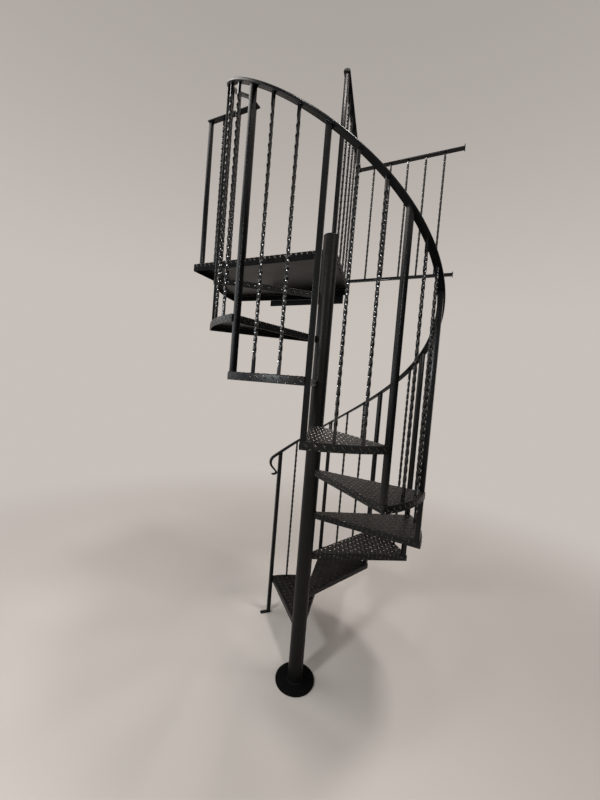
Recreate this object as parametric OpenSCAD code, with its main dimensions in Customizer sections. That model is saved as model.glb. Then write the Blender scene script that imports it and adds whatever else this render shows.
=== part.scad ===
// Spiral staircase with wedge pan treads, twisted balusters and a winding handrail.
// Units are millimetres. The origin is on the column axis at floor level, +Z is up,
// +Y points from the stair to the upper floor and +X along the edge of that floor.
// The stair climbs clockwise as seen from above. Station k is the angle of post k.

/* [Stair] */

// Outside diameter of the central column
column_d = 89; // [76:1:114]
// Wall thickness of the central column
column_wall = 5; // [3:0.5:8]
// Diameter of the round base plate
base_d = 235; // [180:5:320]
// Thickness of the base plate
base_t = 10; // [8:1:16]
// Height from the floor to the first tread
first_rise = 276; // [200:1:290]
// Height from one tread to the next
rise = 256; // [200:1:270]
// Angle that each tread turns through
tread_angle = 34.7; // [27:0.1:36]
// Angle of the first post, from +X
start_angle = 136.2; // [120:0.1:150]
// Radius of the stair at the outer rim of the treads
stair_r = 635; // [560:5:760]
// Height of the column above the landing
column_above = 65; // [40:5:200]

/* [Treads] */

// Thickness of the tread plate and of its flanges
tread_t = 5; // [4:0.5:8]
// Depth of the turned-down flanges of a tread
tread_flange = 35; // [25:1:60]

/* [Railing] */

// Width of the square posts
post_w = 25; // [20:1:40]
// Width of the twisted square bars
bar_w = 12.5; // [10:0.5:16]
// Length of bar in which the twist makes a quarter turn
quarter_turn = 40; // [30:1:80]
// Plain length at the foot of a twisted bar
bar_foot = 55; // [30:1:120]
// Plain length at the head of a twisted bar
bar_head = 20; // [12:1:80]
// Distance from the rim of the treads in to the middle of the posts
rail_inset = 20; // [16:1:40]
// Height of the top of every rail above the tread nosing and the landing
rail_height = 995; // [900:5:1100]
// Width of the handrail
rail_w = 38; // [30:1:60]
// Thickness of the handrail
rail_t = 15; // [12:1:30]
// Straight length of the handrail below the bottom newel, before its curl
curl_run = 65; // [60:5:90]
// Radius of the large bend of the curl
curl_r = 52; // [46:2:64]
// Straight length between the two bends of the curl
curl_drop = 48; // [30:2:52]
// Radius of the small bend that turns the end of the curl outward
lip_r = 12; // [10:1:16]
// Straight length at the end of the curl
lip_run = 22; // [10:2:40]
// Length of the foot plate under the bottom newel post
foot_l = 75; // [50:5:120]
// Width of the foot plate
foot_w = 30; // [25:1:60]
// Thickness of the foot plate
foot_t = 6; // [4:1:12]

/* [Landing] */

// Distance from the column axis to the left edge of the landing
landing_left = 1040; // [800:5:1200]
// Distance from the column axis back to the front edge of the landing
landing_front = 10; // [0:1:30]
// Distance from the column axis back to the wall under the upper floor
landing_back = 760; // [650:5:900]
// Angle of the landing's right edge from square
landing_slant = 11; // [0:0.5:20]
// Depth of the turned-down flanges of the landing
landing_flange = 50; // [40:1:80]
// Distance from the landing's edges in to the middle of the guard posts
guard_inset = 20; // [16:1:40]
// Distance from the left edge of the landing to its corner post
corner_inset = 55; // [20:5:120]
// Number of twisted bars in the front guard
front_bars = 2; // [1:1:3]
// Bay of the front guard, between its twisted bars
front_bay = 130; // [90:5:140]
// Number of bays in the side guard
side_bays = 6; // [4:1:9]
// Bay of the side guard
side_bay = 140; // [90:1:150]
// Number of bays in the guard of the upper floor
loft_bays = 6; // [3:1:10]
// Bay of the guard of the upper floor
loft_bay = 130; // [90:1:150]
// Height of the middle of the bottom rail above the upper floor
bottom_rail_z = 90; // [60:1:150]
// Width of the plate that holds the landing to the wall
flange_w = 675; // [400:5:900]
// Height of the plate that holds the landing to the wall
flange_h = 110; // [80:5:160]
// Thickness of the plate that holds the landing to the wall
flange_t = 8; // [6:1:12]
// Distance from the column axis left to the near end of that plate
flange_x = 165; // [120:5:300]

/* [Hidden] */

treads = 9;
column_r = column_d / 2;
rail_r = stair_r - rail_inset;
half_post = post_w / 2;
landing_z = first_rise + treads * rise;
rail_top_z = landing_z + rail_height;
rail_mid_z = rail_top_z - rail_t / 2;
rail_under_z = rail_top_z - rail_t;
// Slope of the handrail along its own circle
rail_slope = atan(rise / (rail_r * tread_angle * PI / 180));
column_top = landing_z + column_above;
cap_t = 5;
// Front guard line. Its newel carries both the end of the handrail and the front rail
front_y = landing_front + guard_inset;
newel_x = -sqrt(rail_r * rail_r - front_y * front_y) - rail_w * 0.4;
corner_x = corner_inset - landing_left;
// Side guard line: it starts on the column and leans by the landing's slant
side_x = 5;
side_y = 22;
loft_corner = side_at(side_bays * side_bay);
loft_right = loft_corner[0] + loft_bays * loft_bay;
bottom_t = 20;
bottom_w = 25;
plate_t = 6;
$fn = 64;

// Angle of station k, height of tread n, and height of the middle of the handrail at station k
function station(k) = start_angle - k * tread_angle;
function tread_z(n) = first_rise + (n - 1) * rise;
function rail_z(k) = rail_mid_z - (treads - min(k, treads)) * rise;
// Height of the underside of the handrail, straight above a post or bar at station k
function under_z(k) = rail_z(k) - rail_t / 2 / cos(rail_slope);
// A point of the side guard line at distance s from the column post
function side_at(s) = [side_x - s * sin(landing_slant), side_y + s * cos(landing_slant)];
// Outline of the handrail: flat below, eased at both top edges
function rail_outline() = [
  [-rail_w / 2, -rail_t / 2], [rail_w / 2, -rail_t / 2], [rail_w / 2, rail_t * 0.1],
  [rail_w * 0.4, rail_t * 0.36], [rail_w * 0.18, rail_t / 2], [-rail_w * 0.18, rail_t / 2],
  [-rail_w * 0.4, rail_t * 0.36], [-rail_w / 2, rail_t * 0.1]
];
// One cross-section of the handrail: middle p, outward direction a and upward direction b
function ring(p, a, b) = [for (q = rail_outline()) p + q[0] * a + q[1] * b];

// Solid between rings of equally many points
module skin(rings) {
  m = len(rings[0]);
  last = len(rings) - 1;
  points = [for (r = rings) for (p = r) p];
  sides = [
    for (i = [0 : last - 1]) for (j = [0 : m - 1]) for (half = [0, 1])
      half == 0
        ? [i * m + j, (i + 1) * m + j, (i + 1) * m + (j + 1) % m]
        : [i * m + j, (i + 1) * m + (j + 1) % m, i * m + (j + 1) % m]
  ];
  ends = [[for (j = [0 : m - 1]) j], [for (j = [m - 1 : -1 : 0]) last * m + j]];
  polyhedron(points = points, faces = concat(sides, ends));
}

// Wedge between two lines that run beside the radii of stations n - 1 and n
module wedge(n, lead, trail, reach, h) {
  s = tread_angle;
  apex = [(lead * cos(s) - trail) / sin(s), -lead];
  far = reach * 1.3;
  rotate([0, 0, station(n - 1)])
    linear_extrude(height = h)
      polygon([
        apex,
        [far, -lead],
        [far * 1.1 * cos(s / 2), -far * 1.1 * sin(s / 2)],
        [far * cos(s) - trail * sin(s), -far * sin(s) - trail * cos(s)]
      ]);
}

// Pan tread: its leading flange touches post n - 1 and post n stands on its far corner
module tread(n) {
  color([0.06, 0.065, 0.07])
    translate([0, 0, tread_z(n) - tread_flange])
      difference() {
        intersection() {
          cylinder(r = stair_r, h = tread_flange, $fn = 120);
          wedge(n, half_post, half_post, stair_r, tread_flange);
        }
        intersection() {
          translate([0, 0, -1])
            difference() {
              cylinder(r = stair_r - tread_t, h = tread_flange - tread_t + 1, $fn = 120);
              translate([0, 0, -1])
                cylinder(r = column_r + tread_t, h = tread_flange + 2);
            }
          translate([0, 0, -1])
            wedge(n, half_post + tread_t, half_post - tread_t, stair_r, tread_flange);
        }
        translate([0, 0, -1])
          cylinder(r = column_r, h = tread_flange + 2);
      }
}

module base_plate() {
  color([0.06, 0.065, 0.07])
    cylinder(d = base_d, h = base_t);
}

module center_column() {
  color([0.06, 0.065, 0.07])
    translate([0, 0, base_t])
      difference() {
        cylinder(r = column_r, h = column_top - cap_t - base_t);
        translate([0, 0, -1])
          cylinder(r = column_r - column_wall, h = column_top);
      }
}

module column_cap() {
  color([0.06, 0.065, 0.07])
    translate([0, 0, column_top - cap_t])
      cylinder(r = column_r, h = cap_t);
}

// Square post at station k from height z up to the sloping underside of the handrail
module stair_post(k, z) {
  color([0.06, 0.065, 0.07])
    rotate([0, 0, station(k)])
      difference() {
        translate([rail_r - half_post, -half_post, z])
          cube([post_w, post_w, under_z(k) + post_w - z]);
        translate([rail_r, 0, under_z(k)])
          rotate([-rail_slope, 0, 0])
            translate([-post_w, -post_w * 2, 0])
              cube([post_w * 2, post_w * 4, post_w * 3]);
      }
}

module newel_post() {
  stair_post(0, foot_t);
  color([0.06, 0.065, 0.07])
    rotate([0, 0, station(0)])
      translate([rail_r - foot_w / 2, -half_post, 0])
        cube([foot_w, foot_l, foot_t]);
}

// Twisted square bar from z0 to z1: plain foot, twist in whole quarter turns, plain head.
// The head is cut to the slope of the rail above it.
module twisted_bar(z0, z1, slope, foot) {
  turns = floor((z1 - z0 - foot - bar_head) / quarter_turn);
  head = z1 - z0 - foot - turns * quarter_turn;
  slices = ceil(turns * 1.5);
  corners = [[1, -1], [1, 1], [-1, 1], [-1, -1]] * bar_w / 2;
  rings = [
    [for (c = corners) [c[0], c[1], z0]],
    for (i = [0 : slices])
      let (a = -90 * turns * i / slices, z = z0 + foot + quarter_turn * turns * i / slices)
        [for (c = corners) [c[0] * cos(a) - c[1] * sin(a), c[0] * sin(a) + c[1] * cos(a), z]],
    let (a = -90 * turns)
      [for (c = corners)
        let (x = c[0] * cos(a) - c[1] * sin(a), y = c[0] * sin(a) + c[1] * cos(a))
          [x, y, z1 - y * tan(slope)]]
  ];
  skin(rings);
}

// The two twisted bars of tread n, a third of the tread apart
module stair_bars(n) {
  color([0.06, 0.065, 0.07])
    for (part = [1 / 3, 2 / 3]) {
      k = n - 1 + part;
      rotate([0, 0, station(k)])
        translate([rail_r, 0, 0])
          twisted_bar(tread_z(n), under_z(k), rail_slope, bar_foot);
    }
}

// Winding handrail: curled lower end, nine treads of slope, level end on the landing newel
module handrail() {
  steps = 6;
  base = station(0);
  out = [cos(base), sin(base), 0];
  down = [-sin(base), cos(base), 0];
  up = [0, 0, 1];
  start = rail_r * out + rail_z(0) * up;
  // Curl in the upright plane of the last rail piece: straight, bend under, straight back,
  // turn outward. Each entry has the place, the heading and the share of the rail's thickness.
  bend = 98;
  turn = 127;
  tip = 0.6;
  h0 = -rail_slope;
  h1 = h0 - bend;
  h2 = h1 + turn;
  p1 = curl_run * [cos(h0), sin(h0)];
  p2 = p1 + curl_r * [sin(h0) - sin(h1), cos(h1) - cos(h0)];
  p3 = p2 + curl_drop * [cos(h1), sin(h1)];
  p4 = p3 + lip_r * [sin(h2) - sin(h1), cos(h1) - cos(h2)];
  curl = [
    [p4 + lip_run * [cos(h2), sin(h2)], h2, tip],
    for (i = [8 : -1 : 0])
      let (h = h1 + turn * i / 8)
        [p3 + lip_r * [sin(h) - sin(h1), cos(h1) - cos(h)], h, tip + (0.2 * (8 - i)) / 8],
    for (i = [10 : -1 : 0])
      let (h = h0 - bend * i / 10)
        [p1 + curl_r * [sin(h0) - sin(h), cos(h) - cos(h0)], h, 1 - (0.1 * i) / 10]
  ];
  end_k = (base + 180 + asin((front_y + rail_w / 2) / rail_r)) / tread_angle;
  slant = atan((rail_z(treads) - rail_z(treads - 1)) / (rail_r * tread_angle * PI / 180));
  color([0.06, 0.065, 0.07])
    skin(concat(
      [
        for (c = curl)
          ring(start + c[0][0] * down + c[0][1] * up, out, c[2] * (up * cos(c[1]) - down * sin(c[1])))
      ],
      [
        for (i = [0 : steps * treads])
          let (
            k = i / steps,
            a = station(k),
            f = i == steps * treads ? slant / 2 : slant
          )
            ring(
              [rail_r * cos(a), rail_r * sin(a), rail_z(k)],
              [cos(a), sin(a), 0],
              [-sin(a) * sin(f), cos(a) * sin(f), cos(f)]
            )
      ],
      [
        for (k = [(treads + end_k) / 2, end_k])
          let (a = station(k))
            ring([rail_r * cos(a), rail_r * sin(a), rail_mid_z], [cos(a), sin(a), 0], up)
      ]
    ));
}

// Plan of the landing, drawn in by d from its edges
module landing_plan(d) {
  e = side_at(0) + guard_inset * [cos(landing_slant), sin(landing_slant)];
  w = tan(landing_slant);
  front = landing_front + d;
  back = landing_back - flange_t - d;
  right = e[0] - d / cos(landing_slant);
  polygon([
    [-landing_left + d, front],
    [right - (front - e[1]) * w, front],
    [right - (back - e[1]) * w, back],
    [-landing_left + d, back]
  ]);
}

module landing_deck() {
  color([0.06, 0.065, 0.07])
    translate([0, 0, landing_z - landing_flange])
      difference() {
        linear_extrude(height = landing_flange)
          landing_plan(0);
        translate([0, 0, -1])
          difference() {
            linear_extrude(height = landing_flange - tread_t + 1)
              landing_plan(tread_t);
            translate([0, 0, -1])
              cylinder(r = column_r + tread_t, h = landing_flange + 2);
          }
        translate([0, 0, -1])
          cylinder(r = column_r, h = landing_flange + 2);
      }
}

module wall_flange() {
  color([0.06, 0.065, 0.07])
    translate([-flange_x - flange_w, landing_back - flange_t, landing_z - tread_t - flange_h])
      cube([flange_w, flange_t, flange_h]);
}

// Upright square post on the landing
module landing_post(x, y, z, turn) {
  color([0.06, 0.065, 0.07])
    translate([x, y, z])
      rotate([0, 0, turn])
        translate([-half_post, -half_post, 0])
          cube([post_w, post_w, rail_under_z - z]);
}

module landing_newel() {
  landing_post(newel_x, front_y, landing_z, 0);
}

module corner_post() {
  landing_post(corner_x, front_y, landing_z, 0);
}

module column_post() {
  landing_post(side_x, side_y, column_top, landing_slant);
}

// Straight rail along +X from the origin
module straight_rail(length) {
  rotate([90, 0, 90])
    linear_extrude(height = length)
      polygon(rail_outline());
}

module front_rail() {
  a = corner_x - rail_w / 2;
  color([0.06, 0.065, 0.07])
    difference() {
      translate([a, front_y, rail_mid_z])
        straight_rail(newel_x - a);
      translate([0, 0, rail_under_z - 1])
        cylinder(r = rail_r + rail_w / 2, h = rail_t + 2, $fn = 180);
    }
}

module front_bars() {
  middle = (newel_x + corner_x) / 2;
  color([0.06, 0.065, 0.07])
    for (i = [1 : front_bars])
      translate([middle + (i - (front_bars + 1) / 2) * front_bay, front_y, 0])
        twisted_bar(landing_z, rail_under_z, 0, bar_foot);
}

module side_rail() {
  color([0.06, 0.065, 0.07])
    translate([side_x, side_y, rail_mid_z])
      rotate([0, 0, 90 + landing_slant])
        translate([-rail_w / 2, 0, 0])
          straight_rail(side_bays * side_bay + rail_w);
}

// The last bar stands on the upper floor, at the corner of the two guards
module side_bars() {
  color([0.06, 0.065, 0.07])
    for (i = [1 : side_bays])
      let (p = side_at(i * side_bay))
        translate([p[0], p[1], 0])
          rotate([0, 0, landing_slant])
            twisted_bar(landing_z, rail_under_z, 0, i == side_bays ? bottom_rail_z + bottom_t : bar_foot);
}

// Space taken by the side guard where the upper floor's rails meet it
module side_space(w, z, h) {
  translate([side_x, side_y, z])
    rotate([0, 0, 90 + landing_slant])
      translate([0, -w / 2, 0])
        cube([side_bays * side_bay * 2, w, h]);
}

module loft_top_rail() {
  color([0.06, 0.065, 0.07])
    difference() {
      translate([loft_corner[0], loft_corner[1], rail_mid_z])
        straight_rail(loft_bays * loft_bay - plate_t);
      side_space(rail_w, rail_under_z - 1, rail_t + 2);
    }
}

module loft_bottom_rail() {
  color([0.06, 0.065, 0.07])
    difference() {
      translate([loft_corner[0], loft_corner[1] - bottom_w / 2, landing_z + bottom_rail_z - bottom_t / 2])
        cube([loft_bays * loft_bay - plate_t, bottom_w, bottom_t]);
      side_space(bar_w, landing_z + bottom_rail_z - bottom_t, bottom_t * 2);
    }
}

module loft_bars() {
  color([0.06, 0.065, 0.07])
    for (i = [1 : loft_bays - 1])
      translate([loft_corner[0] + i * loft_bay, loft_corner[1], 0])
        twisted_bar(landing_z + bottom_rail_z + bottom_t / 2, rail_under_z, 0, bar_foot);
}

// Plates that hold the upper floor's rails to the side wall
module rail_end_plates() {
  color([0.06, 0.065, 0.07])
    for (z = [rail_mid_z, landing_z + bottom_rail_z])
      translate([loft_right - plate_t, loft_corner[1] - rail_w / 2, z - rail_w * 0.4])
        cube([plate_t, rail_w, rail_w * 0.8]);
}

base_plate();
center_column();
column_cap();
tread(1);  // tread_1
tread(2);  // tread_2
tread(3);  // tread_3
tread(4);  // tread_4
tread(5);  // tread_5
tread(6);  // tread_6
tread(7);  // tread_7
tread(8);  // tread_8
tread(9);  // tread_9
newel_post();
stair_post(1, tread_z(1));  // post_1
stair_post(2, tread_z(2));  // post_2
stair_post(3, tread_z(3));  // post_3
stair_post(4, tread_z(4));  // post_4
stair_post(5, tread_z(5));  // post_5
stair_post(6, tread_z(6));  // post_6
stair_post(7, tread_z(7));  // post_7
stair_post(8, tread_z(8));  // post_8
stair_bars(1);  // balusters_1
stair_bars(2);  // balusters_2
stair_bars(3);  // balusters_3
stair_bars(4);  // balusters_4
stair_bars(5);  // balusters_5
stair_bars(6);  // balusters_6
stair_bars(7);  // balusters_7
stair_bars(8);  // balusters_8
stair_bars(9);  // balusters_9
handrail();
landing_deck();
wall_flange();
landing_newel();
corner_post();
column_post();
front_rail();
front_bars();
side_rail();
side_bars();
loft_top_rail();
loft_bottom_rail();
loft_bars();
rail_end_plates();
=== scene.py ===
"""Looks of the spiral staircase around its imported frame.

Metres, +Z up, origin on the column's axis at floor level.
"""

import math
import random

import bmesh
import bpy
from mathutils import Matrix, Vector


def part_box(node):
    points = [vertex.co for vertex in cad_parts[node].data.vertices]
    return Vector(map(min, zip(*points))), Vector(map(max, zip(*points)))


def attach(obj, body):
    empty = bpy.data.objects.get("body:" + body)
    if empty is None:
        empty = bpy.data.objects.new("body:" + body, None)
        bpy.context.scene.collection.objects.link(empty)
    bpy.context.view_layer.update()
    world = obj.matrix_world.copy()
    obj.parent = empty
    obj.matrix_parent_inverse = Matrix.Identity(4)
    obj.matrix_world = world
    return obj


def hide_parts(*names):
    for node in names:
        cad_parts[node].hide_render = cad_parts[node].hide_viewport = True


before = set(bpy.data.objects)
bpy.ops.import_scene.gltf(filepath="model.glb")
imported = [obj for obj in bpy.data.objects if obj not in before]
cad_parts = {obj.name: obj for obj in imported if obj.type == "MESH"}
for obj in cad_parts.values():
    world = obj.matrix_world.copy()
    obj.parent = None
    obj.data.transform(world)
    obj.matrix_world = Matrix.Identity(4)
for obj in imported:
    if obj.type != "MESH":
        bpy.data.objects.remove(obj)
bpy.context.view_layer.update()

ROOT = "root"
UP = Vector((0, 0, 1))

# ---------------------------------------------------------------- sizes, as in the CAD source
TREADS = 9
RISE = 0.256
TURN = 34.7                      # degrees a tread
START = 136.2                    # degrees, angle of the first post
STAIR_R = 0.635
COLUMN_R = 0.0445
POST_W = 0.025
HALF = POST_W / 2                # treads start and end this far past the line of a post
BAR_W = 0.0125
QUARTER = 0.040                  # length of bar in a quarter turn of its twist
BAR_FOOT = 0.055                 # plain length under the twist
BAR_HEAD = 0.020                 # least plain length over it
FRONT_BAY = 0.130                # between the two bars of the front guard
RAIL_R = STAIR_R - 0.020         # middle of the handrail, posts and bars
RAIL_W = 0.038
RAIL_T = 0.015
CURL_RUN = 0.065
CURL_R = 0.052
CURL_DROP = 0.048
LIP_R = 0.012
LIP_RUN = 0.022
CURL_BEND = 98                   # degrees
LIP_TURN = 127
LIP_TIP = 0.6                    # share of the rail's thickness left at the tip
TREAD_T = 0.005
TREAD_FLANGE = 0.035
DECK_FLANGE = 0.050
SLANT = math.radians(11)         # lean of the side guard and of the landing's edge under it
DECK_SIDE = 0.020                # from the middle of the side guard out to that edge
BASE_T = 0.010
FOOT_PLATE_T = 0.006             # under the bottom newel
BOTTOM_T = 0.020                 # height of the bottom rail along the upper floor
END_PLATE_T = 0.006              # of the plates at the far end of that guard's rails

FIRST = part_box("tread_1")[1].z
DECK_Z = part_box("landing_deck")[1].z
DECK_LO, DECK_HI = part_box("landing_deck")
RAIL_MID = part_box("front_rail")[1].z - RAIL_T / 2
RAIL_UNDER = RAIL_MID - RAIL_T / 2
SLOPE = math.atan(RISE / (RAIL_R * math.radians(TURN)))


def centre(node):
    """Middle of a node's box."""
    lo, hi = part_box(node)
    return (lo + hi) / 2


FRONT_Y = centre("landing_newel").y
NEWEL_X = centre("landing_newel").x
CORNER_X = centre("corner_post").x
SIDE = centre("column_post")
LOFT_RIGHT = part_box("rail_end_plates")[1].x
LOFT_CORNER = centre("loft_bars").y
SIDE_BAYS = 6
SIDE_BAY = (LOFT_CORNER - SIDE.y) / math.cos(SLANT) / SIDE_BAYS
LOFT_X = SIDE.x - SIDE_BAYS * SIDE_BAY * math.sin(SLANT)
LOFT_BAYS = 6
LOFT_BAY = (LOFT_RIGHT - LOFT_X) / LOFT_BAYS
BOTTOM_Z = centre("loft_bottom_rail").z

# Plates
BEND = 0.0035                    # outer radius of a plate's bends
BEND_ANGLES = (90, 67.5, 45, 22.5, 0)
INNER_BEND = 0.002               # chamfer inside them
LIP_EASE = 0.0006                # chamfer at a flange's lower edge
RIM_IN = 0.0016                  # from the CAD's rim to the plate's, so that the lugs stay inside
ARC = 28                         # steps along a tread's rim
DECK_RUN = 24                    # steps along the landing's front edge

# Raised pattern: lugs of one lean stand PITCH apart, those of the other lean between them
PITCH = 0.0375
LUG_L = 0.026
LUG_W = 0.0085
LUG_H = 0.0015
LUG_SINK = 0.0001                # depth of a lug's foot in the plate
LUG_TAPER = 0.72                 # 0.5 makes a lug's outline oval, 1 brings it to sharp points
# Outlines of a lug from its foot up: share of its length, share of its width, height
LUG_LEVELS = ((1.0, 1.0, -LUG_SINK), (0.80, 0.45, LUG_H * 0.9), (0.62, 0.25, LUG_H))
LEAST_LUG = 0.3                  # share of a lug's length on the plate, below which it is left out
BENT = 0.0002                    # drop along a lug from which it follows a bend in fine steps
HALVINGS = 7                     # of the way back to the plate, for a point that is off it
# Where the pattern lies: one lug's place on each flat plan, and the box that holds the plan
TREAD_PHASE = (0.012, 0.009)
TREAD_PLAN = (0, STAIR_R, -0.04, STAIR_R * 0.66)
RIM_PHASE = (0.020, -0.0150)
DECK_PHASE = (0.0, DECK_LO.y - 0.0115)
DECK_PLAN = (DECK_LO.x, DECK_HI.x + 0.06, DECK_LO.y - 0.06, DECK_HI.y)
# Lugs below this height on the landing's front flange take the flange's painted shade
PAINTED_SHADE_BELOW = DECK_LO.y - 0.02   # lugs lower on the landing's front flange are painted like it
# Kept clear of lugs
EDGE_GAP = 0.0035                # along an edge that has no bend
HUB_GAP = 0.010                  # round the column on a tread, and on its straight flanges
HUB_GAP_FLANGE = 0.008
DECK_HUB_GAP = 0.012             # the same on the landing
DECK_HUB_GAP_FLANGE = 0.007
RIM_END_GAP = 0.004              # at the ends of a rim's flange, its lower edge and its bend
RIM_LOW_GAP = 0.0012
RIM_TOP_GAP = 0.0025
# On a flange's flat plan, this less its depth is 1.5 mm short of its lower edge
FLAT_END = BEND * (2 - math.pi / 2) + 0.0015


def station(k):
    """Angle of post k."""
    return math.radians(START - TURN * k)


def tread_z(n):
    return FIRST + (n - 1) * RISE


def rail_z(k):
    """Middle of the handrail at station k."""
    return RAIL_MID - (TREADS - min(k, TREADS)) * RISE


def under_z(k):
    """Underside of the handrail at station k."""
    return rail_z(k) - RAIL_T / 2 / math.cos(SLOPE)


def around(angle, radius, z=0.0):
    return Vector((radius * math.cos(angle), radius * math.sin(angle), z))


def side_at(s):
    """Point of the side guard's line, s along it from the column's post."""
    return Vector((SIDE.x - s * math.sin(SLANT), SIDE.y + s * math.cos(SLANT), 0))


OUTWARD = Vector((math.cos(SLANT), math.sin(SLANT), 0))
DECK_EDGE = side_at(0) + OUTWARD * DECK_SIDE  # a point of the landing's slanted edge
EDGE_RUN = math.tan(SLANT)                    # how far that edge runs left, a metre back


# ---------------------------------------------------------------- materials
class Nodes:
    """Short way to add shader nodes and links to a material or world."""

    def __init__(self, owner):
        owner.use_nodes = True
        self.tree = owner.node_tree
        self.tree.nodes.clear()

    def add(self, kind, settings=None, **inputs):
        node = self.tree.nodes.new(kind)
        for name, value in (settings or {}).items():
            setattr(node, name, value)
        for name, value in inputs.items():
            self.put(node, name.replace("_", " "), value)
        return node

    def put(self, node, name, value):
        """Links or sets an input, given by its name or by its number as text."""
        socket = node.inputs[int(name) if name.isdigit() else name]
        if isinstance(value, bpy.types.NodeSocket):
            self.tree.links.new(value, socket)
        else:
            socket.default_value = value

    def noise(self, where, scale, detail=3.0, rough=0.55):
        n = self.add("ShaderNodeTexNoise", Vector=where, Scale=scale, Detail=detail,
                     Roughness=rough)
        return n.outputs["Fac"]

    def ramp(self, value, low, high, out_low=0.0, out_high=1.0):
        n = self.add("ShaderNodeMapRange", {"interpolation_type": "SMOOTHSTEP"}, Value=value)
        for name, v in (("From Min", low), ("From Max", high),
                        ("To Min", out_low), ("To Max", out_high)):
            n.inputs[name].default_value = v
        return n.outputs["Result"]

    def math(self, op, a, b):
        n = self.add("ShaderNodeMath", {"operation": op})
        self.put(n, "0", a)
        self.put(n, "1", b)
        return n.outputs[0]

    def mix(self, factor, a, b):
        """Mixes colours: inputs 6 and 7 and output 2 are the node's colour sockets."""
        n = self.add("ShaderNodeMix", {"data_type": "RGBA"})
        self.put(n, "0", factor)
        self.put(n, "6", a)
        self.put(n, "7", b)
        return n.outputs[2]


def rgba(r, g, b):
    return (r, g, b, 1.0)


def scaled(colour, share):
    return rgba(*(share * c for c in colour))


BARE = rgba(0.050, 0.047, 0.044)  # rubbed paint
DUST = rgba(0.15, 0.128, 0.11)


def paint(name, colour, gloss, dust=0.03, wear=0.12, ior=1.27, tint=(1.0, 1.0, 1.0)):
    """Black paint on steel: fine orange peel, rubbed specks, a film of dust on level faces.
    gloss is the roughness, dust and wear are shares, tint colours the reflections: a painted
    reflection of the colour of the light."""
    material = bpy.data.materials.new(name)
    n = Nodes(material)
    where = n.add("ShaderNodeTexCoord").outputs["Object"]
    normal = n.add("ShaderNodeNewGeometry").outputs["Normal"]
    level = n.add("ShaderNodeSeparateXYZ", Vector=normal).outputs["Z"]
    patches = n.noise(where, 9.0, 4.0)
    grain = n.noise(where, 240.0, 2.0)
    specks = n.noise(where, 85.0, 5.0, 0.7)
    base = n.mix(n.ramp(patches, 0.3, 0.7), scaled(colour, 0.78), scaled(colour, 1.2))
    worn = n.math("MULTIPLY", n.ramp(specks, 0.62, 0.78), wear)
    base = n.mix(worn, base, BARE)
    upward = n.ramp(level, 0.55, 0.95)
    film = n.math("MULTIPLY", upward, n.ramp(n.noise(where, 17.0, 5.0, 0.65), 0.25, 0.8))
    film = n.math("MULTIPLY", film, dust)
    base = n.mix(film, base, DUST)
    rough = n.ramp(patches, 0.25, 0.75, gloss - 0.02, gloss + 0.04)
    rough = n.math("ADD", rough, n.math("MULTIPLY", film, 0.5))
    rough = n.math("ADD", rough, n.ramp(specks, 0.3, 0.8, -0.03, 0.05))
    height = n.math("ADD", n.math("MULTIPLY", grain, 0.35), n.math("MULTIPLY", specks, 0.65))
    bump = n.add("ShaderNodeBump", Strength=0.03, Distance=0.0012, Height=height)
    shader = n.add("ShaderNodeBsdfPrincipled", Roughness=rough, Normal=bump.outputs[0])
    n.put(shader, "Base Color", base)
    shader.inputs["IOR"].default_value = ior
    shader.inputs["Specular Tint"].default_value = rgba(*tint)
    out = n.add("ShaderNodeOutputMaterial")
    n.put(out, "Surface", shader.outputs[0])
    return material


FRAME_PAINT = paint("frame_paint", (0.0044, 0.0047, 0.0052), gloss=0.27)
BAR_PAINT = paint("bar_paint", (0.0044, 0.0047, 0.0052), gloss=0.20, ior=1.5)
# Warm tint: painted reflection of warm light from above
COLUMN_PAINT = paint("column_paint", (0.0044, 0.0046, 0.0048), gloss=0.42, tint=(1.0, 0.93, 0.90))
EDGE_PAINT = paint("edge_paint", (0.0070, 0.0073, 0.0077), gloss=0.26, wear=0.5)
# Warm tint: painted reflection of warm light falling on the treads from above
PLATE_PAINT = paint("plate_paint", (0.0046, 0.0046, 0.0046), gloss=0.38, dust=0.05, wear=0.20,
                    tint=(1.0, 0.91, 0.87))
# Cool, bluish copy of the plate paint for the flanges: painted reflection of cool light from the
# side
FLANGE_PAINT = paint("flange_paint", (0.0045, 0.0048, 0.0050), gloss=0.36, dust=0.05, wear=0.20,
                     ior=1.29, tint=(0.93, 0.98, 1.0))
# Lighter colour for worn crowns; the warm tint is a painted reflection of warm light from above
LUG_PAINT = paint("lug_paint", (0.0070, 0.0067, 0.0065), gloss=0.22, dust=0.04, wear=0.6,
                  ior=1.5, tint=(1.0, 0.90, 0.85))
RAIL_PAINT = paint("rail_paint", (0.0040, 0.0043, 0.0048), gloss=0.29, wear=0.16, ior=1.2)
# Darker, duller copy of the black paint: painted shade, for the base plate, the wall plate and the
# landing's flanges, which lie in shadow
PAINTED_SHADE_PAINT = paint("painted_shade_paint", (0.0030, 0.0031, 0.0033), gloss=0.60, dust=0.0, wear=0.05,
                    ior=1.15)
WELD_PAINT = paint("weld_paint", (0.0046, 0.0048, 0.0052), gloss=0.32, wear=0.20)

# Materials of a piece of square bar, of pipe or of plate darkened with painted shade, and what
# each place is for
STEEL = [FRAME_PAINT, EDGE_PAINT, WELD_PAINT]
PIPE = [COLUMN_PAINT, EDGE_PAINT, WELD_PAINT]
PAINTED_SHADE_PLATE = [PAINTED_SHADE_PAINT, PAINTED_SHADE_PAINT, WELD_PAINT]
FACES, EASED, WELDED = 0, 1, 2
# The same for twisted bars and for patterned plate
BARS = [BAR_PAINT, WELD_PAINT]
BAR_WELDS = 1
TREAD_PLATE = [PLATE_PAINT, LUG_PAINT, FLANGE_PAINT]
# On the landing the flanges, and the low lugs on its front flange, take the darker paint with
# painted shade
DECK_PLATE = [PLATE_PAINT, LUG_PAINT, PAINTED_SHADE_PAINT]
LUGS, FLANGES = 1, 2


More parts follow.
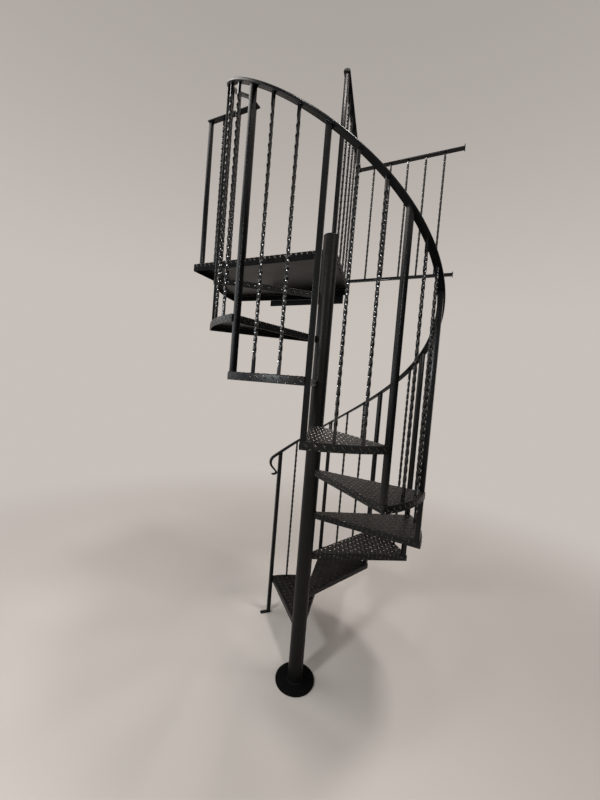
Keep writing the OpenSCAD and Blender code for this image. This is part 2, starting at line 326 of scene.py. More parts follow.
# ---------------------------------------------------------------- mesh helpers
def finish_mesh(bm, name, materials, replaced, sharp=30, flat=None):
    """Turns bm into a shown piece that rides on the stair. Edges over sharp degrees stay sharp,
    and faces of material flat keep their facets."""
    bmesh.ops.recalc_face_normals(bm, faces=bm.faces)
    limit = math.radians(sharp)
    for face in bm.faces:
        face.smooth = face.material_index != flat
    for edge in bm.edges:
        if len(edge.link_faces) == 2:
            edge.smooth = edge.calc_face_angle(0) < limit
    mesh = bpy.data.meshes.new(name)
    bm.to_mesh(mesh)
    bm.free()
    obj = bpy.data.objects.new(name, mesh)
    bpy.context.scene.collection.objects.link(obj)
    for material in materials:
        mesh.materials.append(material)
    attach(obj, ROOT)
    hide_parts(*replaced)


def band(bm, a, b, material=FACES):
    """Faces between two closed rows of equally many vertices."""
    m = len(a)
    for j in range(m):
        face = bm.faces.new((a[j], a[(j + 1) % m], b[(j + 1) % m], b[j]))
        face.material_index = material


def loft(bm, rings, material=FACES):
    """Closed skin over rings of equally many points."""
    rows = [[bm.verts.new(p) for p in ring] for ring in rings]
    for a, b in zip(rows, rows[1:]):
        band(bm, a, b, material)
    bm.faces.new(rows[0]).material_index = material
    bm.faces.new(list(reversed(rows[-1]))).material_index = material


def square(side, chamfer, parts):
    """Outline of a square bar with chamfered corners, each face in so many parts."""
    h, c = side / 2, side / 2 - chamfer
    face = [(h, -c + 2 * c * i / parts) for i in range(parts + 1)]
    outline = []
    for _ in range(4):
        outline += face
        face = [(-y, x) for x, y in face]
    return outline


BEAD_SIDES = 6
BEAD_HEIGHT = 0.9                # height of a bead, as a share of its width
BEAD_SIZES = (0.8, 1.2)          # its radius varies between these shares
BEAD_SHIFT = 0.15                # share of the radius by which a closed bead wanders
BEAD_TIP = 0.35                  # share of it at the ends of an open bead


def bead_ring(p, out, radius, shift=0.0):
    """Section of a weld bead at p, across out."""
    angles = (2 * math.pi * j / BEAD_SIDES for j in range(BEAD_SIDES))
    return [p + out * (shift + radius * math.cos(a))
            + UP * (radius * BEAD_HEIGHT * math.sin(a)) for a in angles]


def weld(bm, points, radius, seed, material=WELDED):
    """Lumpy weld bead along a closed run of points."""
    rng = random.Random(seed)
    m = len(points)
    rows = []
    for i, p in enumerate(points):
        along = (points[(i + 1) % m] - points[i - 1]).normalized()
        out = along.cross(UP).normalized()
        r = radius * rng.uniform(*BEAD_SIZES)
        shift = radius * rng.uniform(-BEAD_SHIFT, BEAD_SHIFT)
        rows.append([bm.verts.new(v) for v in bead_ring(p, out, r, shift)])
    for i in range(m):
        band(bm, rows[i], rows[(i + 1) % m], material)


def weld_open(bm, points, radius, seed):
    """Lumpy weld bead along an open run of points, tapered at both ends."""
    rng = random.Random(seed)
    rings = []
    last = len(points) - 1
    for i, p in enumerate(points):
        along = (points[min(i + 1, last)] - points[max(i - 1, 0)]).normalized()
        out = along.cross(UP).normalized()
        r = radius * rng.uniform(*BEAD_SIZES) * (BEAD_TIP if i in (0, last) else 1.0)
        rings.append(bead_ring(p, out, r))
    loft(bm, rings, WELDED)


def square_run(middle, side, turn, step=0.003, tilt=0.0):
    """Points round the foot of a square bar, level or tilted across the bar's second axis."""
    h = side / 2
    corners = [(h, -h), (h, h), (-h, h), (-h, -h)]
    points = []
    for (x0, y0), (x1, y1) in zip(corners, corners[1:] + corners[:1]):
        k = max(3, round(side / step))
        for i in range(k):
            x, y = x0 + (x1 - x0) * i / k, y0 + (y1 - y0) * i / k
            points.append(middle + Vector((
                x * math.cos(turn) - y * math.sin(turn),
                x * math.sin(turn) + y * math.cos(turn),
                -y * math.tan(tilt),
            )))
    return points


def circle_run(radius, z, count):
    """Points round the column."""
    return [around(2 * math.pi * i / count, radius, z) for i in range(count)]


# ---------------------------------------------------------------- raised-pattern plate
def lug_rings(stations):
    """Outlines of one lug from its foot up, as (along, across, height) points.
    stations are the places of the points along it, from -0.5 to 0.5."""
    half = [(x, 0.5 * (1 - 4 * x * x) ** LUG_TAPER) for x in stations]
    lens = half + [(x, -y) for x, y in reversed(half[1:-1])]
    return [[(x * (LUG_L * length), y * (LUG_W * width), h) for x, y in lens]
            for length, width, h in LUG_LEVELS]


LUG = lug_rings((-0.5, -0.3, 0.0, 0.3, 0.5))
FOLDED_LUG = lug_rings([i / 12 - 0.5 for i in range(13)])
PROBES = [LUG_L * i / 24 for i in range(-12, 13)]  # places along a lug's middle


def folded(u, h):
    """Folds the flat plan over a bend. u is the distance in from the flange's face on the plan,
    below zero on the flange, and h the height over the plate. Gives the distance in and the z."""
    if u >= BEND:
        return u, h
    turn = (BEND - u) / BEND
    if turn < math.pi / 2:
        return BEND - (BEND + h) * math.sin(turn), -BEND + (BEND + h) * math.cos(turn)
    return -h, -BEND - (turn - math.pi / 2) * BEND


def add_lug(bm, x, y, turn, place, inside, material):
    """One lug at (x, y) in the plate's own plane. place puts a plane point into the scene, inside
    says whether a plane point is still on the plate: what runs over the edge is drawn back."""
    c, s = math.cos(turn), math.sin(turn)

    def plane(a, b):
        return x + a * c - b * s, y + a * s + b * c

    held = [t for t in PROBES if inside(*plane(t, 0.0))]
    if not held or held[-1] - held[0] < LUG_L * LEAST_LUG:
        return
    inner = (held[0] + held[-1]) / 2

    def drawn_back(a, b):
        if inside(*plane(a, b)):
            return a, b
        out, back = 0.0, 1.0
        for _ in range(HALVINGS):
            half = (out + back) / 2
            if inside(*plane(a + (inner - a) * half, b * (1 - half))):
                back = half
            else:
                out = half
        return a + (inner - a) * back, b * (1 - back)

    ends = [place(*plane(t, 0.0), 0.0).z for t in (held[0], inner, held[-1])]
    bent = max(ends) - min(ends) > BENT
    rows = []
    for ring in (FOLDED_LUG if bent else LUG):
        rows.append([bm.verts.new(place(*plane(*drawn_back(a, b)), h)) for a, b, h in ring])
    for u, v in zip(rows, rows[1:]):
        band(bm, u, v, material)
    m = len(rows[0])
    for ring in (rows[0], rows[-1]):
        for j in range(m // 2):
            across = [ring[j], ring[j + 1], ring[m - j - 1], ring[(m - j) % m]]
            bm.faces.new(list(dict.fromkeys(across))).material_index = material


def lug_field(bm, plan, place, inside, phase, lean=45, painted_shade_below=-math.inf):
    """Lugs over a rectangle of the plate's own plane: two square lattices, leaning either way.
    phase is one lug's place. Lugs lower than the height given as the last argument take the
    flanges' paint, which on the landing is painted shade."""
    x0, x1, y0, y1 = plan
    half = PITCH / 2
    i0, i1 = math.floor((x0 - phase[0]) / half) - 1, math.ceil((x1 - phase[0]) / half) + 1
    j0, j1 = math.floor((y0 - phase[1]) / half) - 1, math.ceil((y1 - phase[1]) / half) + 1
    for i in range(i0, i1 + 1):
        for j in range(j0, j1 + 1):
            if (i + j) % 2:
                continue
            turn = math.radians(lean if j % 2 else -lean)
            y = phase[1] + j * half
            material = FLANGES if y < painted_shade_below else LUGS
            add_lug(bm, phase[0] + i * half, y, turn, place, inside, material)


def cover(bm, row):
    """Strip of faces between the first half of a closed row and its second half."""
    half = len(row) // 2
    for i in range(half - 1):
        bm.faces.new((row[i], row[i + 1], row[-2 - i], row[-1 - i]))


def pan(bm, outline, z, depth, hub=0.0):
    """Plate with flanges turned down all round, from its underside round to its top.
    outline(d, hub) gives the plan drawn in by d, and by hub at the column."""
    def ring(d, h, inner=0.0):
        return [p + UP * (z + h) for p in outline(d, inner)]

    turns = [(BEND * (1 - math.sin(a)), -BEND * (1 - math.cos(a)))
             for a in map(math.radians, BEND_ANGLES)]
    rings = [ring(TREAD_T + INNER_BEND, -TREAD_T, hub),
             ring(TREAD_T, -TREAD_T - INNER_BEND, hub),
             ring(TREAD_T, -depth, hub),
             ring(LIP_EASE, -depth),
             ring(0.0, -depth + LIP_EASE)]
    rings += [ring(d, h) for d, h in turns]
    materials = [FACES] + [FLANGES] * 4 + [FACES] * 4
    rows = [[bm.verts.new(p) for p in r] for r in rings]
    for a, b, material in zip(rows, rows[1:], materials):
        band(bm, a, b, material)
    cover(bm, rows[0])
    cover(bm, rows[-1])


# ---------------------------------------------------------------- treads and landing
def tread_outline(n, d, rim=0.0, hub=0.0):
    """Outline of tread n drawn in by d, at the rim also by rim and at the column by hub.
    The points run along the rim, then back round the column."""
    lead, trail = HALF + d, HALF - d
    outer, inner = STAIR_R - d - rim, COLUMN_R + hub

    def run(r):
        a = station(n - 1) - math.asin(lead / r)
        b = station(n) - math.asin(trail / r)
        return [around(a + (b - a) * i / ARC, r) for i in range(ARC + 1)]

    return run(outer) + list(reversed(run(inner)))


def axes(angle):
    """Level directions at an angle: out from the column, and across that as the stair climbs."""
    return (Vector((math.cos(angle), math.sin(angle), 0)),
            Vector((math.sin(angle), -math.cos(angle), 0)))


def build_tread(n):
    z = tread_z(n)
    bm = bmesh.new()
    pan(bm, lambda d, hub: tread_outline(n, d, RIM_IN, hub), z, TREAD_FLANGE, hub=TREAD_T)
    # The pattern runs with the leading edge, over the bends and down both straight flanges
    a0, a1 = station(n - 1), station(n)
    (ex, ey), (qx, qy) = axes(a0), axes(a1)
    r = STAIR_R - RIM_IN
    tip = math.sqrt(r ** 2 - HALF ** 2) - EDGE_GAP

    def inside(x, y):
        p = ex * x + ey * y
        lead, trail = y - HALF, HALF - p.dot(qy)
        if min(lead, trail) >= BEND:
            return COLUMN_R + HUB_GAP < p.length < r - EDGE_GAP
        along = x if lead < trail else p.dot(qx)
        return (max(lead, trail) > BEND and min(lead, trail) > FLAT_END - TREAD_FLANGE
                and COLUMN_R + HUB_GAP_FLANGE < along < tip)

    def place(x, y, h):
        p = ex * x + ey * y
        lead, trail = y - HALF, HALF - p.dot(qy)
        if trail < min(lead, BEND):
            d, up = folded(trail, h)
            return p + qy * (trail - d) + UP * (z + up)
        d, up = folded(lead, h)
        return p + ey * (d - lead) + UP * (z + up)

    lug_field(bm, TREAD_PLAN, place, inside, TREAD_PHASE)
    # On the rim's flange x runs along the rim and y up it
    first = a0 - math.asin(HALF / r)
    last = a1 - math.asin(HALF / r)
    length = (first - last) * r

    def rim_place(x, y, h):
        return around(first - x / r, r + h, z + y)

    def rim_inside(x, y):
        return (RIM_END_GAP < x < length - RIM_END_GAP
                and -TREAD_FLANGE + RIM_LOW_GAP < y < -RIM_TOP_GAP)

    rim_plan = (0, length, -TREAD_FLANGE, 0)
    lug_field(bm, rim_plan, rim_place, rim_inside, RIM_PHASE, lean=-45)
    finish_mesh(bm, f"checkered_tread_{n}", TREAD_PLATE, [f"tread_{n}"], flat=LUGS)


def deck_outline(d, _hub):
    """Plan of the landing drawn in by d: along its front edge, then back along its back edge."""
    front, back, left = DECK_LO.y + d, DECK_HI.y - d, DECK_LO.x + d
    right = DECK_EDGE.x - d / math.cos(SLANT)
    front_right = right - (front - DECK_EDGE.y) * EDGE_RUN
    back_right = right - (back - DECK_EDGE.y) * EDGE_RUN
    steps = [i / DECK_RUN for i in range(DECK_RUN + 1)]
    return ([Vector((left + (front_right - left) * s, front, 0)) for s in steps]
            + [Vector((back_right + (left - back_right) * s, back, 0)) for s in steps])


def build_deck():
    bm = bmesh.new()
    pan(bm, deck_outline, DECK_Z, DECK_FLANGE)

    def from_edges(x, y):
        """Distance in from the front edge and from the slanted one."""
        right = (DECK_EDGE.x - x - (y - DECK_EDGE.y) * EDGE_RUN) * math.cos(SLANT)
        return y - DECK_LO.y, right

    def inside(x, y):
        front, right = from_edges(x, y)
        if x <= DECK_LO.x + EDGE_GAP or y >= DECK_HI.y - EDGE_GAP:
            return False
        if max(front, right) <= BEND or min(front, right) <= FLAT_END - DECK_FLANGE:
            return False
        if min(front, right) >= BEND:
            return math.hypot(x, y) > COLUMN_R + DECK_HUB_GAP
        if front < right:
            face = Vector((x, DECK_LO.y, 0))
        else:
            face = Vector((x, y, 0)) + OUTWARD * right
        return face.length > COLUMN_R + DECK_HUB_GAP_FLANGE

    def place(x, y, h):
        front, right = from_edges(x, y)
        if right < min(front, BEND):
            d, up = folded(right, h)
            return Vector((x, y, DECK_Z + up)) + OUTWARD * (right - d)
        d, up = folded(front, h)
        return Vector((x, y + d - front, DECK_Z + up))

    # Lugs low on the front flange get its painted shade
    lug_field(bm, DECK_PLAN, place, inside, DECK_PHASE, painted_shade_below=PAINTED_SHADE_BELOW)
    finish_mesh(bm, "checkered_landing", DECK_PLATE, ["landing_deck"], flat=LUGS)


# ---------------------------------------------------------------- bars and posts
TWIST_STEPS = 8                  # a quarter turn
BAR_OUTLINE = square(BAR_W, chamfer=0.0008, parts=4)
FOOT_IN = 0.001                  # run of a bar into what it stands on, and into the rail
HEAD_IN = 0.004
# Weld beads: radius, and distance of their middle from the face they lie on
BAR_FOOT_BEAD, BAR_FOOT_UP = 0.0021, 0.0006
BAR_HEAD_BEAD, BAR_HEAD_DOWN = 0.0017, 0.0004
POST_FOOT_BEAD, POST_FOOT_UP = 0.0026, 0.0008
POST_HEAD_BEAD, POST_HEAD_DOWN = 0.0021, 0.0005
HUB_BEAD, HUB_UP = 0.0028, 0.0008
DECK_BEAD, DECK_UP, DECK_OUT = 0.0030, 0.001, 0.001
BASE_BEAD, BASE_UP, BASE_OUT = 0.0038, 0.001, 0.0015
CAP_BEAD, CAP_IN = 0.0016, 0.0002
POST_BEAD_STEP = 0.0035
HEAD_SEEDS = 50                  # from the seed of a bar's foot to that of its head


def twisted_bar(bm, x, y, z0, z1, turn, foot):
    """Square bar twisted by quarter turns between a plain foot and a plain head."""
    turns = math.floor((z1 - z0 - foot - BAR_HEAD) / QUARTER)
    stations = [(z0 - FOOT_IN, 0.0), (z0 + foot, 0.0)]
    stations += [(z0 + foot + QUARTER * i / TWIST_STEPS, -math.radians(90) * i / TWIST_STEPS)
                 for i in range(1, TWIST_STEPS * turns + 1)]
    stations.append((z1 + HEAD_IN, -math.radians(90) * turns))
    rings = []
    for z, a in stations:
        c, s = math.cos(a + turn), math.sin(a + turn)
        rings.append([Vector((x + px * c - py * s, y + px * s + py * c, z))
                      for px, py in BAR_OUTLINE])
    loft(bm, rings)


def bars_piece(name, bars, node, seed):
    """bars: (x, y, z0, z1, turn, foot, slope of the rail above) of each twisted bar of a node."""
    bm = bmesh.new()
    for i, (x, y, z0, z1, turn, foot, slope) in enumerate(bars):
        low, high = Vector((x, y, z0 + BAR_FOOT_UP)), Vector((x, y, z1 - BAR_HEAD_DOWN))
        low_run, high_run = square_run(low, BAR_W, turn), square_run(high, BAR_W, turn, tilt=slope)
        twisted_bar(bm, x, y, z0, z1, turn, foot)
        weld(bm, low_run, BAR_FOOT_BEAD, seed + i, BAR_WELDS)
        weld(bm, high_run, BAR_HEAD_BEAD, seed + HEAD_SEEDS + i, BAR_WELDS)
    finish_mesh(bm, name, BARS, [node], sharp=24)


def build_bars():
    for n in range(1, TREADS + 1):
        bars = []
        for part in (1 / 3, 2 / 3):
            k = n - 1 + part
            p = around(station(k), RAIL_R)
            bars.append((p.x, p.y, tread_z(n), under_z(k), station(k), BAR_FOOT, SLOPE))
        bars_piece(f"twisted_balusters_{n}", bars, f"balusters_{n}", seed=n * 10)
    middle = (NEWEL_X + CORNER_X) / 2
    bars = [(middle + FRONT_BAY * i, FRONT_Y, DECK_Z, RAIL_UNDER, 0.0, BAR_FOOT, 0.0)
            for i in (-0.5, 0.5)]
    bars_piece("twisted_front_bars", bars, "front_bars", seed=200)
    bars = []
    for i in range(1, SIDE_BAYS + 1):
        p = side_at(i * SIDE_BAY)
        foot = BOTTOM_Z - DECK_Z + BOTTOM_T if i == SIDE_BAYS else BAR_FOOT
        bars.append((p.x, p.y, DECK_Z, RAIL_UNDER, SLANT, foot, 0.0))
    bars_piece("twisted_side_bars", bars, "side_bars", seed=300)
    low = BOTTOM_Z + BOTTOM_T / 2
    bars = [(LOFT_X + i * LOFT_BAY, LOFT_CORNER, low, RAIL_UNDER, 0.0, BAR_FOOT, 0.0)
            for i in range(1, LOFT_BAYS)]
    bars_piece("twisted_loft_bars", bars, "loft_bars", seed=400)


def eased_copy(node, name, materials, width, segments=2, sharp=30, extra=None):
    """The node's own solid with its edges over sharp degrees eased by width.
    extra adds what else the piece has, such as its welds."""
    bm = bmesh.new()
    bm.from_mesh(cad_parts[node].data)
    bmesh.ops.remove_doubles(bm, verts=bm.verts, dist=1e-5)
    bmesh.ops.dissolve_limit(bm, angle_limit=math.radians(1), verts=bm.verts, edges=bm.edges)
    limit = math.radians(sharp)
    edges = [e for e in bm.edges if len(e.link_faces) == 2 and e.calc_face_angle(0) > limit]
    bmesh.ops.bevel(bm, geom=edges, offset=width, segments=segments, profile=0.5,
                    affect="EDGES", clamp_overlap=True, material=EASED)
    if extra:
        extra(bm)
    finish_mesh(bm, name, materials, [node], sharp=28)


def rail_post_welds(k, seed, foot):
    """Welds of the post at station k: under the handrail, and at its foot's height."""
    def extra(bm):
        p = around(station(k), RAIL_R)
        high, low = p + UP * (under_z(k) - POST_HEAD_DOWN), p + UP * (foot + POST_FOOT_UP)
        high_run = square_run(high, POST_W, station(k), POST_BEAD_STEP, SLOPE)
        low_run = square_run(low, POST_W, station(k), POST_BEAD_STEP)
        weld(bm, high_run, POST_HEAD_BEAD, seed)
        weld(bm, low_run, POST_FOOT_BEAD, seed + 1)
    return extra


def guard_post_welds(node, turn, seed):
    """Welds at the foot and the head of an upright post of the guards."""
    def extra(bm):
        c = centre(node)
        lo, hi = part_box(node)
        low = Vector((c.x, c.y, lo.z + POST_FOOT_UP))
        high = Vector((c.x, c.y, hi.z - POST_HEAD_DOWN))
        weld(bm, square_run(low, POST_W, turn, POST_BEAD_STEP), POST_FOOT_BEAD, seed)
        weld(bm, square_run(high, POST_W, turn, POST_BEAD_STEP), POST_HEAD_BEAD, seed + 1)
    return extra


def build_posts():
    for k in range(1, TREADS):
        welds = rail_post_welds(k, seed=500 + k * 3, foot=tread_z(k))
        eased_copy(f"post_{k}", f"square_post_{k}", STEEL, width=0.0022, extra=welds)
    welds = rail_post_welds(0, seed=600, foot=FOOT_PLATE_T)
    eased_copy("newel_post", "square_newel", STEEL, width=0.0018, extra=welds)
    turns = (("landing_newel", 0.0), ("corner_post", 0.0), ("column_post", SLANT))
    for i, (node, turn) in enumerate(turns):
        welds = guard_post_welds(node, turn, seed=620 + i * 5)
        eased_copy(node, f"square_{node}", STEEL, width=0.0022, extra=welds)


# ---------------------------------------------------------------- column and plates
def base_weld(bm):
    weld(bm, circle_run(COLUMN_R + BASE_OUT, BASE_T + BASE_UP, count=90), BASE_BEAD, seed=700)


def column_welds(bm):
    """Along the hub of every tread, and where the landing meets the column."""
    for n in range(1, TREADS + 1):
        hub = tread_outline(n, 0.0)[ARC + 1:]
        weld_open(bm, [p + UP * (tread_z(n) + HUB_UP) for p in hub], HUB_BEAD, seed=710 + n)
    met = [p for p in circle_run(COLUMN_R + DECK_OUT, DECK_Z + DECK_UP, count=120)
           if p.y > DECK_LO.y and p.x < DECK_EDGE.x - (p.y - DECK_EDGE.y) * EDGE_RUN]
    weld_open(bm, met, DECK_BEAD, seed=730)


def cap_weld(bm):
    lo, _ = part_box("column_cap")
    weld(bm, circle_run(COLUMN_R - CAP_IN, lo.z, count=80), CAP_BEAD, seed=740)


def build_plates():
    # The base plate takes the darker paint with painted shade
    eased_copy("base_plate", "round_base_plate", PAINTED_SHADE_PLATE, width=0.0016, extra=base_weld)
    eased_copy("center_column", "pipe_column", PIPE, width=0.0008, segments=1, sharp=50,
               extra=column_welds)
    eased_copy("column_cap", "round_column_cap", PIPE, width=0.0012, extra=cap_weld)
    # So does the wall plate under the landing: painted shade
    eased_copy("wall_flange", "wall_plate", PAINTED_SHADE_PLATE, width=0.0012)
    eased_copy("rail_end_plates", "rail_wall_plates", STEEL, width=0.0010)
    eased_copy("loft_bottom_rail", "square_bottom_rail", STEEL, width=0.0018)


# ---------------------------------------------------------------- rails
def rail_profile():
    """Moulded section: grooved flat back, upright sides, crowned top. (out, up) points."""
    half = [(0.0, -0.0075), (0.0118, -0.0075), (0.0126, -0.0067), (0.0134, -0.0075),
            (0.0180, -0.0075), (0.0190, -0.0065), (0.0190, -0.0022), (0.0185, -0.0009),
            (0.0172, -0.0002), (0.0168, 0.0012), (0.0159, 0.0032), (0.0138, 0.0050),
            (0.0103, 0.0065), (0.0056, 0.0073)]
    top = [(0.0, 0.0075)]
    return half + top + [(-x, y) for x, y in reversed(half[1:])]


PROFILE = rail_profile()
CURL_STEPS = 24                  # each of the curl's two bends
RAIL_STEPS = 24                  # a tread
END_EASE = 0.0008                # length of the eased end of a straight rail
END_SHARE = 0.95                 # size of its section at the very end
LEVEL_STEPS = 5                  # over the landing newel
NEWEL_LAP = 0.003                # run of the front rail past the middle of that newel
LOFT_IN = 0.004                  # from the corner's middle to the end of the loft's top rail
# The lip's tip: part of its run, share of the tip's thickness
TIP_SHAPE = ((1.0, 0.55), (0.96, 0.85), (0.88, 1.0))
LIP_GAIN = 0.2                   # share of thickness gained along the lip's bend
CURL_LOSS = 0.1                  # and lost along the curl's


def rail_ring(p, out, up, share=1.0):
    """The section at p, with its height drawn to a share."""
    return [p + out * x + up * (y * share) for x, y in PROFILE]


def sin_cos(heading):
    return math.sin(math.radians(heading)), math.cos(math.radians(heading))


def curl_path():
    """The curl as ((along, up), heading, share of thickness), from the lip's tip to the rail.
    along is level and leads away from the stair, and a heading is in degrees above it."""
    h0 = -math.degrees(SLOPE)
    h1 = h0 - CURL_BEND
    h2 = h1 + LIP_TURN

    def arc(p, r, ha, hb):
        (sa, ca), (sb, cb) = sin_cos(ha), sin_cos(hb)
        return (p[0] + r * (sa - sb), p[1] + r * (cb - ca))

    def ahead(p, length, h):
        s, c = sin_cos(h)
        return (p[0] + length * c, p[1] + length * s)

    p1 = ahead((0, 0), CURL_RUN, h0)
    p3 = ahead(arc(p1, CURL_R, h0, h1), CURL_DROP, h1)
    p4 = arc(p3, -LIP_R, h1, h2)
    path = [(ahead(p4, LIP_RUN * part, h2), h2, LIP_TIP * share) for part, share in TIP_SHAPE]
    for i in range(CURL_STEPS, -1, -1):
        h = h1 + LIP_TURN * i / CURL_STEPS
        share = LIP_TIP + LIP_GAIN * (CURL_STEPS - i) / CURL_STEPS
        path.append((arc(p3, -LIP_R, h1, h), h, share))
    for i in range(CURL_STEPS, -1, -1):
        h = h0 - CURL_BEND * i / CURL_STEPS
        path.append((arc(p1, CURL_R, h0, h), h, 1 - CURL_LOSS * i / CURL_STEPS))
    return path


def handrail_rings():
    """Curled lower end, nine treads of slope, level end on the landing newel."""
    a0 = station(0)
    out = around(a0, 1.0)
    down = Vector((-math.sin(a0), math.cos(a0), 0))
    start = around(a0, RAIL_R, rail_z(0))
    rings = []
    for (x, y), h, share in curl_path():
        s, c = sin_cos(h)
        rings.append(rail_ring(start + down * x + UP * y, out, UP * c - down * s, share))
    last = RAIL_STEPS * TREADS
    for i in range(last + 1):
        k = i / RAIL_STEPS
        a = station(k)
        f = SLOPE / 2 if i == last else SLOPE
        up = Vector((-math.sin(a) * math.sin(f), math.cos(a) * math.sin(f), math.cos(f)))
        rings.append(rail_ring(around(a, RAIL_R, rail_z(k)), around(a, 1.0), up))
    beyond = math.degrees(math.asin((FRONT_Y + RAIL_W / 2) / RAIL_R))
    end_k = (math.degrees(a0) + 180 + beyond) / TURN
    for i in range(1, LEVEL_STEPS + 1):
        a = station(TREADS + (end_k - TREADS) * i / LEVEL_STEPS)
        rings.append(rail_ring(around(a, RAIL_R, RAIL_MID), around(a, 1.0), UP))
    return rings


def rail_piece(name, rings, node):
    bm = bmesh.new()
    loft(bm, rings)
    finish_mesh(bm, name, [RAIL_PAINT], [node], sharp=26)


def straight_rings(a, b):
    """Moulded rail from a to b, both at the middle of the rail, with eased ends."""
    along = (b - a).normalized()
    out = along.cross(UP)
    ends = ((a, 0.0, END_SHARE), (a, END_EASE, 1), (b, -END_EASE, 1), (b, 0.0, END_SHARE))
    return [[p + along * d + out * x * s + UP * y * s for x, y in PROFILE] for p, d, s in ends]


def build_rails():
    rail_piece("moulded_handrail", handrail_rings(), "handrail")
    lo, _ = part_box("front_rail")
    front = [Vector((x, FRONT_Y, RAIL_MID)) for x in (lo.x, NEWEL_X + NEWEL_LAP)]
    rail_piece("moulded_front_rail", straight_rings(*front), "front_rail")
    along = Vector((-math.sin(SLANT), math.cos(SLANT), 0))
    a = side_at(0) + UP * RAIL_MID
    side = (a - along * RAIL_W / 2, a + along * (SIDE_BAYS * SIDE_BAY + RAIL_W / 2))
    rail_piece("moulded_side_rail", straight_rings(*side), "side_rail")
    loft_ends = [Vector((x, LOFT_CORNER, RAIL_MID))
                 for x in (LOFT_X + LOFT_IN, LOFT_RIGHT - END_PLATE_T)]
    rail_piece("moulded_loft_rail", straight_rings(*loft_ends), "loft_top_rail")


for number in range(1, TREADS + 1):
    build_tread(number)
build_deck()
build_bars()
build_posts()
build_plates()
build_rails()


# ---------------------------------------------------------------- camera
# The photograph's place, turn and wide lens
CAMERA_PLACE = (0.72438, -1.77192, 1.77159)
CAMERA_RIGHT = (0.89923261, 0.42993267, 0.08086173)
CAMERA_UP = (-0.09072075, 0.00244459, 0.99587337)
CAMERA_FORWARD = (-0.42796082, 0.90285764, -0.04120207)
SENSOR = 36.0
LENS = 19.60


def build_camera():
    data = bpy.data.cameras.new("camera")
    data.sensor_fit = "HORIZONTAL"
    data.sensor_width = SENSOR
    data.lens = LENS
    data.clip_start = 0.05
    data.clip_end = 100.0
    cam = bpy.data.objects.new("camera", data)
    bpy.context.scene.collection.objects.link(cam)
    m = cam.matrix_world
    for i in range(3):
        m[i][0], m[i][1], m[i][2] = CAMERA_RIGHT[i], CAMERA_UP[i], -CAMERA_FORWARD[i]
    m[0][3], m[1][3], m[2][3] = CAMERA_PLACE
    cam.matrix_world = m
    bpy.context.scene.camera = cam


build_camera()


# ---------------------------------------------------------------- stage and light
PALE = (0.575, 0.528, 0.490)
FLOOR = (0.56, 0.525, 0.495)
FELT = (0.02, 0.02, 0.02)
SKY = 0.68                       # the background overhead, as a share of PALE
FLOOR_R = 14.0
FADE = (1.4, 5.0)                # distances over which the floor turns into the background

# name, place, target, width, height, whether matt faces see it too
CARDS = [
    ("front_card", (-2.3, -3.4, 4.3), (-0.3, 0.0, 3.7), 3.8, 7.2, True),
    ("right_card", (3.1, 0.8, 2.0), (0.0, 0.0, 1.9), 3.6, 4.4, True),
    ("low_card", (-0.45, 1.25, 0.60), (-0.45, 0.0, 0.60), 2.0, 1.1, False),
]
# name, place, target, size, watts, colour
LAMPS = [
    ("window", (-3.2, -1.3, 2.5), (0.0, 0.0, 1.9), (2.8, 2.2), 30, (0.92, 0.97, 1.0)),
    ("top", (-2.6, -0.4, 4.9), (0.0, 0.0, 1.6), (1.8, 1.8), 30, (1.0, 0.97, 0.93)),
    ("overhead", (1.2, 0.2, 6.5), (0.2, 0.0, 1.0), (0.8, 0.8), 110, (1.0, 0.97, 0.94)),
    ("right", (2.95, -1.25, 3.35), (0.3, -0.5, 1.55), (0.5, 0.5), 18, (1.0, 0.98, 0.96)),
    ("high", (0.0, -1.25, 5.3), (-0.3, -0.1, 2.5), (0.35, 0.35), 24, (1.0, 0.95, 0.9)),
    ("key", (-1.0, -3.1, 2.6), (0.0, 0.0, 1.9), (0.4, 0.4), 64, (0.97, 0.99, 1.0)),
]


def aim_at(obj, place, target):
    """Puts obj at place, looking down its own -Z at target."""
    obj.location = place
    turn = (Vector(target) - Vector(place)).to_track_quat("-Z", "Y")
    obj.rotation_euler = turn.to_euler()


def stage_object(name, bm):
    mesh = bpy.data.meshes.new(name)
    bm.to_mesh(mesh)
    bm.free()
    obj = bpy.data.objects.new(name, mesh)
    bpy.context.scene.collection.objects.link(obj)
    return obj


def background_rays(n):
    """1 for rays that show the background: from the camera, mirrored or through glass."""
    path = n.add("ShaderNodeLightPath")
    seen = n.math("MAXIMUM", path.outputs["Is Camera Ray"], path.outputs["Is Glossy Ray"])
    return n.math("MAXIMUM", seen, path.outputs["Is Transmission Ray"])


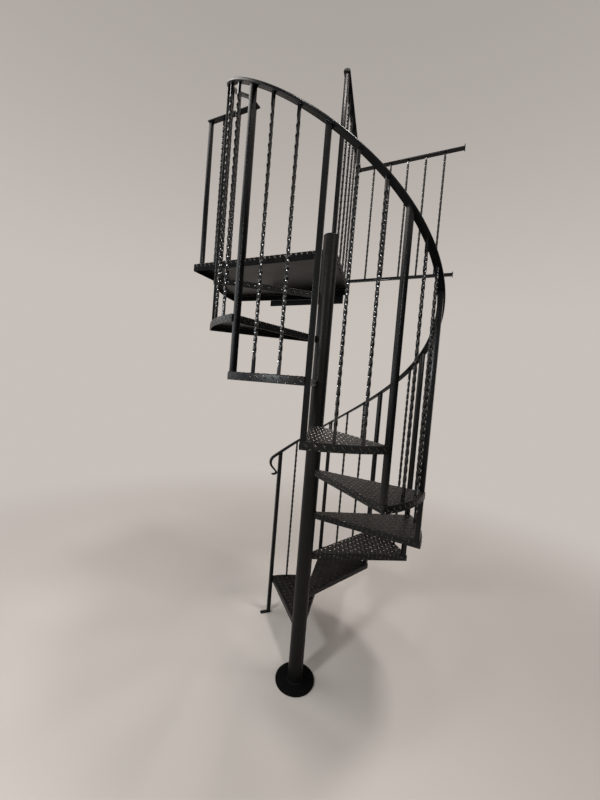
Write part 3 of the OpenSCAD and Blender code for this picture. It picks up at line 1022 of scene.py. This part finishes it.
def build_floor():
    """Pale floor that fades into the background away from the stair."""
    bm = bmesh.new()
    bmesh.ops.create_circle(bm, cap_ends=True, segments=96, radius=FLOOR_R)
    floor = stage_object("floor", bm)
    floor.location = (0, 0, -0.0005)
    material = bpy.data.materials.new("pale_floor")
    n = Nodes(material)
    where = n.add("ShaderNodeTexCoord").outputs["Object"]
    away = n.add("ShaderNodeVectorMath", {"operation": "LENGTH"})
    n.put(away, "0", where)
    far = n.ramp(away.outputs["Value"], *FADE)
    lit = n.add("ShaderNodeBsdfDiffuse", Color=rgba(*FLOOR))
    flat = n.add("ShaderNodeEmission", Color=rgba(*PALE), Strength=1.0)
    both = n.add("ShaderNodeMixShader")
    n.put(both, "0", n.math("MULTIPLY", far, background_rays(n)))
    n.put(both, "1", lit.outputs[0])
    n.put(both, "2", flat.outputs[0])
    n.put(n.add("ShaderNodeOutputMaterial"), "Surface", both.outputs[0])
    floor.data.materials.append(material)


def build_world():
    world = bpy.data.worlds.new("world")
    bpy.context.scene.world = world
    n = Nodes(world)
    where = n.add("ShaderNodeTexCoord").outputs["Generated"]
    height = n.add("ShaderNodeSeparateXYZ", Vector=where).outputs["Z"]
    colour = n.mix(n.ramp(height, 0.15, 0.85), rgba(*PALE), scaled(PALE, SKY))
    pale = n.add("ShaderNodeBackground", Color=colour, Strength=1.0)
    n.put(n.add("ShaderNodeOutputWorld"), "Surface", pale.outputs[0])


def build_card(name, place, target, width, height, diffuse):
    """Dark card beside the picture: faces turned to it stay black."""
    bm = bmesh.new()
    bmesh.ops.create_grid(bm, x_segments=1, y_segments=1, size=0.5)
    bmesh.ops.scale(bm, vec=(width, height, 1.0), verts=bm.verts)
    card = stage_object(name, bm)
    aim_at(card, place, target)
    card.visible_camera = False
    card.visible_shadow = False
    card.visible_diffuse = diffuse
    material = bpy.data.materials.new(name)
    n = Nodes(material)
    felt = n.add("ShaderNodeBsdfDiffuse", Color=rgba(*FELT))
    n.put(n.add("ShaderNodeOutputMaterial"), "Surface", felt.outputs[0])
    card.data.materials.append(material)


def build_lamp(name, place, target, size, watts, colour):
    data = bpy.data.lights.new(name, "AREA")
    data.shape = "RECTANGLE"
    data.size, data.size_y = size
    data.energy = watts
    data.color = colour
    obj = bpy.data.objects.new(name, data)
    bpy.context.scene.collection.objects.link(obj)
    aim_at(obj, place, target)


build_floor()
build_world()
for card_row in CARDS:
    build_card(*card_row)
for lamp_row in LAMPS:
    build_lamp(*lamp_row)

bpy.context.scene.view_settings.view_transform = "Standard"
